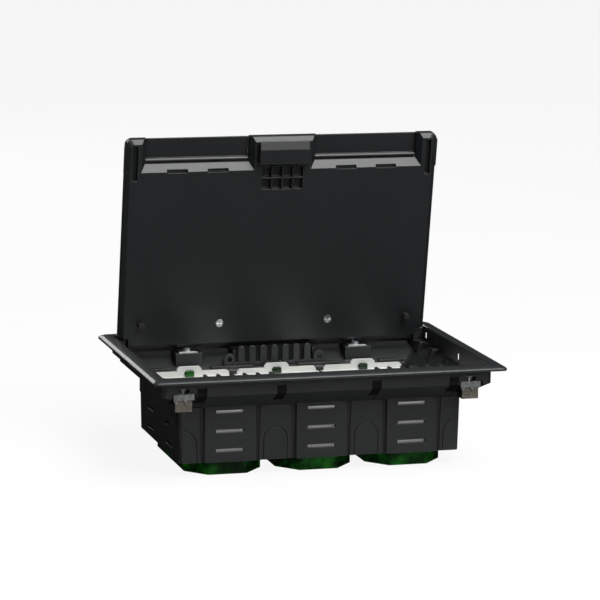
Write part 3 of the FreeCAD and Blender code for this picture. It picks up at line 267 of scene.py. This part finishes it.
def white_abs():
    """White ABS, with the shade of ribs painted along the feet of the legs."""
    finish, tree, out = blank_finish("Cradle_white_ABS")
    place = add(tree, "ShaderNodeTexCoord").outputs["Object"]
    cloud = add(tree, "ShaderNodeTexNoise", {"Vector": place}, {"Scale": scale_for(33.3), "Detail": 2.0})
    tone = drift(tree, cloud.outputs["Fac"], (0.3, 0.7), ("D2D4D0", "DEDFDB"))

    axes = add(tree, "ShaderNodeSeparateXYZ", {"Vector": place}).outputs
    turns = {1: math.tau / (RIB_PITCH * MM)}
    phase = add(tree, "ShaderNodeMath", {0: axes["X"]}, turns, operation="MULTIPLY")
    wave = add(tree, "ShaderNodeMath", {0: phase.outputs["Value"]}, operation="SINE")
    flank = {"From Min": -0.3, "From Max": 0.5}
    ribs = add(tree, "ShaderNodeMapRange", {"Value": wave.outputs["Value"]}, flank)
    out_from_middle = add(tree, "ShaderNodeMath", {0: axes["Y"]}, operation="ABSOLUTE").outputs["Value"]
    on_leg = add(tree, "ShaderNodeMath", {0: out_from_middle}, {1: LEG_FACE * MM}, operation="GREATER_THAN")
    on_foot = add(tree, "ShaderNodeMath", {0: axes["Z"]}, {1: RIB_TOP * MM}, operation="LESS_THAN")
    foot_links = {0: on_leg.outputs["Value"], 1: on_foot.outputs["Value"]}
    foot = add(tree, "ShaderNodeMath", foot_links, operation="MULTIPLY")
    shade_links = {0: foot.outputs["Value"], 1: ribs.outputs["Result"]}
    painted_shade = add(tree, "ShaderNodeMath", shade_links, operation="MULTIPLY")
    # painted shade: grey 6E6F6C stripes stand for the shaded grooves between the ribs
    ribbed_links = {0: painted_shade.outputs["Value"], MIX_A: tone}
    painted_rib_shade = add(tree, "ShaderNodeMix", ribbed_links, {MIX_B: linear("6E6F6C")}, data_type="RGBA")

    fine = {"Scale": scale_for(0.4), "Detail": 2.0}
    grain = add(tree, "ShaderNodeTexNoise", {"Vector": place}, fine).outputs["Fac"]
    roughness = add(tree, "ShaderNodeMapRange", {"Value": grain}, {"To Min": 0.3, "To Max": 0.42})
    rounded = add(tree, "ShaderNodeBevel", values={"Radius": 0.5 * MM}, samples=4).outputs["Normal"]
    relief = {"Strength": 0.12, "Distance": 0.05 * MM}
    bump = add(tree, "ShaderNodeBump", {"Height": grain, "Normal": rounded}, relief)
    shader_links = {
        "Base Color": painted_rib_shade.outputs[MIX_COLOUR],
        "Roughness": roughness.outputs["Result"],
        "Normal": bump.outputs["Normal"],
    }
    depths = (1.2 * MM, 1.1 * MM, 1.0 * MM)
    body = {"IOR": 1.54, "Subsurface Weight": 0.08, "Subsurface Radius": depths}
    shader = add(tree, "ShaderNodeBsdfPrincipled", shader_links, body)
    tree.links.new(shader.outputs["BSDF"], out.inputs["Surface"])
    return finish


cradle_plastic = white_abs()
print("white plastic:", cradle_plastic.name)

# %% [markdown]
# ## Green see-through polypropylene
# The back boxes are thin clear-green mouldings. Against the black trough they look nearly
# black-green, and where light comes through an edge they glow. Real refraction in a
# thin wall costs many bounces and goes noisy, so the shader mixes a glossy skin that lets
# part of the light through with a translucent share that catches light from behind. A slow
# bump stands for the flow marks of a thin moulding, which bend the light in patches. The
# colour drifts from dark to bright green in patches, and the bright ones are painted glints.

# %% Green polypropylene


def green_box_plastic():
    """Clear green polypropylene, with bright patches of colour painted as glints of light."""
    finish, tree, out = blank_finish("Back_box_green_clear_polypropylene")
    place = add(tree, "ShaderNodeTexCoord").outputs["Object"]
    cloud = add(tree, "ShaderNodeTexNoise", {"Vector": place}, {"Scale": scale_for(16.67), "Detail": 4.0})
    # painted light: the bright green patches stand for glints through the thin walls
    tone = drift(tree, cloud.outputs["Fac"], (0.34, 0.5, 0.68), ("033607", "0A6010", "35AC2F"))
    slow = {"Scale": scale_for(8.0), "Detail": 3.0}
    flow = add(tree, "ShaderNodeTexNoise", {"Vector": place}, slow)
    rounded = add(tree, "ShaderNodeBevel", values={"Radius": 0.6 * MM}, samples=4).outputs["Normal"]
    relief = {"Strength": 0.6, "Distance": 0.6 * MM}
    bump = add(tree, "ShaderNodeBump", {"Height": flow.outputs["Fac"], "Normal": rounded}, relief)
    skin_links = {"Base Color": tone, "Normal": bump.outputs["Normal"]}
    clear = {"Roughness": 0.1, "IOR": 1.49, "Transmission Weight": 0.55}
    skin = add(tree, "ShaderNodeBsdfPrincipled", skin_links, clear)
    glow = add(tree, "ShaderNodeBsdfTranslucent", {"Color": tone})
    mixed_links = {1: skin.outputs["BSDF"], 2: glow.outputs["BSDF"]}
    mixed = add(tree, "ShaderNodeMixShader", mixed_links, {"Fac": 0.3})
    tree.links.new(mixed.outputs["Shader"], out.inputs["Surface"])
    return finish


box_plastic = green_box_plastic()
print("green plastic:", box_plastic.name)

# %% [markdown]
# ## Metals
# Screws, claws and plates are steel with a bright zinc plating. Zinc is a blue-white metal whose
# plating shows a faint crystal mottle a few millimetres wide. The threaded blocks are pressure
# die-cast zinc alloy left as cast, which goes a dull brown-grey. Cells of the mottle's real
# width, broken up by noise, give both their grain.

# %% Zinc plate, cast zinc and drawn steel


def plated_metal(name, tones, rough, mottle_mm, relief=0.15):
    """A metal with a mottle of one width, which also gives it a fine relief."""
    finish, tree, out = blank_finish(name)
    place = add(tree, "ShaderNodeTexCoord").outputs["Object"]
    cells = add(tree, "ShaderNodeTexVoronoi", {"Vector": place}, {"Scale": scale_for(mottle_mm)})
    wide = {"Scale": scale_for(mottle_mm * 2), "Detail": 3.0}
    cloud = add(tree, "ShaderNodeTexNoise", {"Vector": place}, wide).outputs["Fac"]
    mottle_links = {0: cells.outputs["Distance"], 1: cloud}
    mottle = add(tree, "ShaderNodeMath", mottle_links, operation="MULTIPLY").outputs["Value"]
    tone = drift(tree, mottle, (0.0, 0.45), tones)
    swing = {"To Min": rough - 0.08, "To Max": rough + 0.1}
    roughness = add(tree, "ShaderNodeMapRange", {"Value": cloud}, swing)
    rounded = add(tree, "ShaderNodeBevel", values={"Radius": 0.3 * MM}, samples=4).outputs["Normal"]
    height = {"Strength": relief, "Distance": 0.1 * MM}
    bump = add(tree, "ShaderNodeBump", {"Height": mottle, "Normal": rounded}, height)
    shader_links = {
        "Base Color": tone,
        "Roughness": roughness.outputs["Result"],
        "Normal": bump.outputs["Normal"],
    }
    shader = add(tree, "ShaderNodeBsdfPrincipled", shader_links, {"Metallic": 1.0})
    tree.links.new(shader.outputs["BSDF"], out.inputs["Surface"])
    return finish


# bright plating: pale, with a soft mirror
zinc_plate = plated_metal("Claw_steel_bright_zinc_plated", ("A4A7A9", "DADCDD"), rough=0.3, mottle_mm=3.0)
# as cast: brown-grey, dull and pitted
cast_zinc = plated_metal(
    "Block_die_cast_zinc_alloy", ("6A665E", "9A958A"), rough=0.5, mottle_mm=1.2, relief=0.4
)
# drawn wire: a plain neutral grey
drawn_steel = plated_metal("Pin_drawn_steel", ("8A8B8C", "B5B6B7"), rough=0.32, mottle_mm=2.0)
print("metals:", [finish.name for finish in (zinc_plate, cast_zinc, drawn_steel)])

# %% [markdown]
# ## Which piece gets which finish
# Each solid keeps its shape, and only its material slot changes. Names that start alike share
# a finish, so the list below runs over beginnings of names, and stops if one is left out. The
# first that fits counts: claw_block comes before claw_ for that reason.

# %% Finishes on the solids
FINISHES = (
    ("rim_frame", rim_plastic),
    ("housing", trough_plastic),
    ("rear_comb", comb_plastic),
    ("lid_cover", lid_plastic),
    ("lid_underside", lid_plastic),
    ("latch_slider", flap_plastic),
    ("cable_flap", flap_plastic),
    ("cradle", cradle_plastic),
    ("back_box", box_plastic),
    ("claw_block", cast_zinc),
    ("claw_", zinc_plate),
    ("tower_plates", zinc_plate),
    ("lid_screws", zinc_plate),
    ("lid_plate", zinc_plate),
    ("hinge_pins", drawn_steel),
    ("lid_bumpers", rubber),
)


def finish_for(name):
    """The first finish in the list whose beginning fits the name."""
    for start, finish in FINISHES:
        if name.startswith(start):
            return finish
    raise ValueError("no finish for " + name)


for name, solid in nodes.items():
    if not solid.material_slots:
        solid.data.materials.append(None)
    for slot in solid.material_slots:
        slot.material = finish_for(name)
print("finished", len(nodes), "solids")

# %% [markdown]
# ## The stage
# A pale floor catches a soft shadow. The camera should see clean white where the floor and
# the sky are, while the lamps stay at a plain level, so both are white by themselves for the
# camera's own rays, and the floor keeps a share of its lit surface, which holds the shadow.
# Black plastic shows whatever it mirrors. So the floor is left out of mirrored rays, and the
# sky that they see is pale in front and above, and dark behind and below: that keeps the
# trough's side walls black and gives the metal in front something to shine with.

# %% Floor and world
FLOOR_HALF = 6.0        # half the floor's width, in metres
FLOOR_GAP = 0.2         # below the box, in mm
FLOOR_SEEN = 0.9        # the share of the floor that is white by itself
WHITE = linear("FFFFFF")


def white_for_eyes(name):
    """A pale floor that reads as white to the camera away from its shadows."""
    finish, tree, out = blank_finish(name)
    place = add(tree, "ShaderNodeTexCoord").outputs["Object"]
    cloud = add(tree, "ShaderNodeTexNoise", {"Vector": place}, {"Scale": scale_for(333.3), "Detail": 2.0})
    tone = drift(tree, cloud.outputs["Fac"], (0.3, 0.7), ("FBFBFB", "FFFFFF"))
    matt = add(tree, "ShaderNodeBsdfPrincipled", {"Base Color": tone}, {"Roughness": 0.9})
    lit = add(tree, "ShaderNodeEmission", values={"Color": WHITE, "Strength": 1.0})
    ray = add(tree, "ShaderNodeLightPath")
    camera_ray = {0: ray.outputs["Is Camera Ray"]}
    share = add(tree, "ShaderNodeMath", camera_ray, {1: FLOOR_SEEN}, operation="MULTIPLY")
    mixed_links = {0: share.outputs["Value"], 1: matt.outputs["BSDF"], 2: lit.outputs["Emission"]}
    mixed = add(tree, "ShaderNodeMixShader", mixed_links)
    tree.links.new(mixed.outputs["Shader"], out.inputs["Surface"])
    return finish


floor_mesh = bmesh.new()
bmesh.ops.create_grid(floor_mesh, x_segments=8, y_segments=8, size=FLOOR_HALF)
floor_data = bpy.data.meshes.new("studio_floor")
floor_mesh.to_mesh(floor_data)
floor_mesh.free()
floor = bpy.data.objects.new("studio_floor", floor_data)
bpy.context.collection.objects.link(floor)
floor.location.z = solid_box[0].z - FLOOR_GAP * MM
floor.visible_glossy = False
floor_data.materials.append(white_for_eyes("Floor_white_paper_sweep"))

world = bpy.data.worlds.new("Studio")
bpy.context.scene.world = world
world.use_nodes = True
sky = world.node_tree
sky.nodes.clear()
heading = add(sky, "ShaderNodeSeparateXYZ", {"Vector": add(sky, "ShaderNodeTexCoord").outputs["Generated"]})
in_front = {"From Min": 0.0, "From Max": -1.0, "To Min": 0.012, "To Max": 0.16}
ahead = add(sky, "ShaderNodeMapRange", {"Value": heading.outputs["Y"]}, in_front)
overhead = {"From Min": 0.1, "From Max": 1.0, "To Min": 0.0, "To Max": 0.2}
above = add(sky, "ShaderNodeMapRange", {"Value": heading.outputs["Z"]}, overhead)
sum_links = {0: ahead.outputs["Result"], 1: above.outputs["Result"]}
glow = add(sky, "ShaderNodeMath", sum_links, operation="ADD")
soft = add(sky, "ShaderNodeBackground", {"Strength": glow.outputs["Value"]}, {"Color": WHITE})
white = add(sky, "ShaderNodeBackground", values={"Color": WHITE, "Strength": 1.0})
ray = add(sky, "ShaderNodeLightPath")
seen_links = {0: ray.outputs["Is Camera Ray"], 1: ray.outputs["Is Transmission Ray"]}
seen = add(sky, "ShaderNodeMath", seen_links, operation="MAXIMUM")
either_links = {0: seen.outputs["Value"], 1: soft.outputs["Background"], 2: white.outputs["Background"]}
either = add(sky, "ShaderNodeMixShader", either_links)
add(sky, "ShaderNodeOutputWorld", {"Surface": either.outputs["Shader"]})
print("floor at", round(floor.location.z / MM, 2), "mm")

# %% [markdown]
# ## Lights
# Four soft square lamps. The one overhead lights the white cradles and the lid's slanted outlets.
# The one high in front is the main light, and the rim throws a shadow down the trough from it.
# The one behind grazes the rim, and draws its left edge as a bright line. The last hangs lower
# in front and adds nothing but sheen: it gives the latch and the metal their highlights, and
# would flatten the trough if it lit it too.

# %% Lamps


def lamp(name, place, aim, size, watts, fills=True):
    """A square soft lamp at a place, turned to an aim. One that doesn't fill only adds sheen."""
    data = bpy.data.lights.new(name, "AREA")
    data.size = size
    data.energy = watts
    item = bpy.data.objects.new(name, data)
    bpy.context.collection.objects.link(item)
    item.location = place
    item.rotation_mode = "QUATERNION"
    item.rotation_quaternion = (Vector(aim) - Vector(place)).to_track_quat("-Z", "Y")
    item.visible_diffuse = fills
    return item


centre = (solid_box[0] + solid_box[1]) / 2
lamps = (
    lamp("top_lamp", (0.45, -0.3, 1.55), centre, size=1.0, watts=8.5),
    lamp("rear_lamp", (-0.35, 2.0, 0.78), centre, size=0.6, watts=6.0),
    lamp("front_lamp", (0.5, -1.2, 1.85), centre, size=1.2, watts=38.0),
    lamp("sheen_lamp", (0.55, -1.75, 1.0), centre, size=0.6, watts=16.0, fills=False),
)
print("lamps:", [item.name for item in lamps])

# %% [markdown]
# ## The camera
# The box is seen from the front left and a little above, through a long lens that keeps its
# verticals nearly upright. The camera is placed by distance and direction from the middle
# of the rim, and then turned about its line of sight by the small tilt that the view has.

# %% Camera
SENSOR = 36.0
FOCAL_IN_WIDTHS = 5.25733       # focal length over the sensor's width
AZIMUTH = math.radians(-15.8)
ELEVATION = math.radians(10.04)
TILT = math.radians(0.64)
DISTANCE = 2453.58 * MM
OFFSET_RIGHT = 1.5 * MM
OFFSET_UP = 41.94 * MM

sideways = Vector((math.cos(AZIMUTH), math.sin(AZIMUTH), 0.0))
outward = Vector((math.sin(AZIMUTH), -math.cos(AZIMUTH), 0.0))
back = outward * math.cos(ELEVATION) + Vector((0.0, 0.0, math.sin(ELEVATION)))
upright = back.cross(sideways)
right = sideways * math.cos(TILT) + upright * math.sin(TILT)
up = upright * math.cos(TILT) - sideways * math.sin(TILT)
rim_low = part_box("rim_frame")[0].z
target = Vector((0.0, 0.0, rim_low))
camera_data = bpy.data.cameras.new("view")
camera_data.sensor_width = SENSOR
camera_data.lens = SENSOR * FOCAL_IN_WIDTHS
camera_data.clip_start = 0.1
camera_data.clip_end = 50.0
camera = bpy.data.objects.new("view", camera_data)
bpy.context.collection.objects.link(camera)
camera.rotation_mode = "QUATERNION"
camera.rotation_quaternion = Matrix((right, up, back)).transposed().to_quaternion()
camera.location = target + right * OFFSET_RIGHT + up * OFFSET_UP + back * DISTANCE
bpy.context.scene.camera = camera
bpy.context.scene.view_settings.view_transform = "Standard"
print("camera at", [round(v, 3) for v in camera.location])
